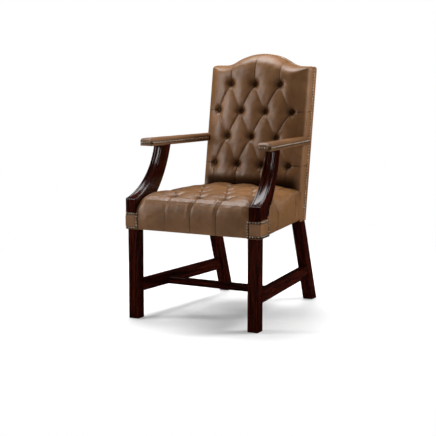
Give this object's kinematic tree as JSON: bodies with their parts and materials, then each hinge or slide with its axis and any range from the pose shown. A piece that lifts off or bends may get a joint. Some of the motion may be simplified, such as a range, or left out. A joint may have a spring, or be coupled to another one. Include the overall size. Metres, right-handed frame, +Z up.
{
  "type": "gainsborough armchair",
  "caption": "Open-armed chair with a camel-topped, deep-buttoned leather back and seat, swept moulded arm supports, padded arms, square legs, raked rear legs and an H stretcher.",
  "frame": {"origin": "on the floor, below the middle of the chair's overall box", "axes": "+X to the right as seen from in front, +Y to the back, +Z up"},
  "size_m": [0.5956, 0.7152, 1.041],
  "materials": {
    "polished_wood": "dark red-brown stain under a gloss polish",
    "frame_wood": "plain sawn hardwood",
    "leather": "brown hide with a fine grain and a soft sheen",
    "nail_brass": "aged brass, softly polished",
    "screw_steel": "plain steel",
    "webbing": "woven jute",
    "dust_cloth": "black woven cloth",
    "foam": "open-cell foam"
  },
  "bodies": {
    "root": {"arm_dowels": "frame_wood", "arm_nails_left": "nail_brass", "arm_nails_right": "nail_brass", "arm_pad_left": "leather", "arm_pad_right": "leather", "arm_rail_left": "frame_wood", "arm_rail_right": "frame_wood", "arm_support_left": "polished_wood", "arm_support_right": "polished_wood", "back_buttons": "leather", "back_cover": "leather", "back_dowels": "frame_wood", "back_foam": "foam", "back_nails": "nail_brass", "back_webbing": "webbing", "block_screws": "screw_steel", "corner_blocks": "frame_wood", "corner_nails_left": "nail_brass", "corner_nails_right": "nail_brass", "corner_patch_left": "leather", "corner_patch_right": "leather", "crest_rail": "frame_wood", "cross_stretcher": "polished_wood", "dust_cover": "dust_cloth", "front_leg_left": "polished_wood", "front_leg_right": "polished_wood", "front_seat_rail": "frame_wood", "lower_back_rail": "frame_wood", "outside_back_panel": "leather", "rail_dowels": "frame_wood", "rear_leg_left": "polished_wood", "rear_leg_right": "polished_wood", "rear_seat_rail": "frame_wood", "seat_buttons": "leather", "seat_cover": "leather", "seat_foam": "foam", "seat_webbing": "webbing", "side_seat_rail_left": "frame_wood", "side_seat_rail_right": "frame_wood", "side_stretcher_left": "polished_wood", "side_stretcher_right": "polished_wood"}
  },
  "joints": []
}
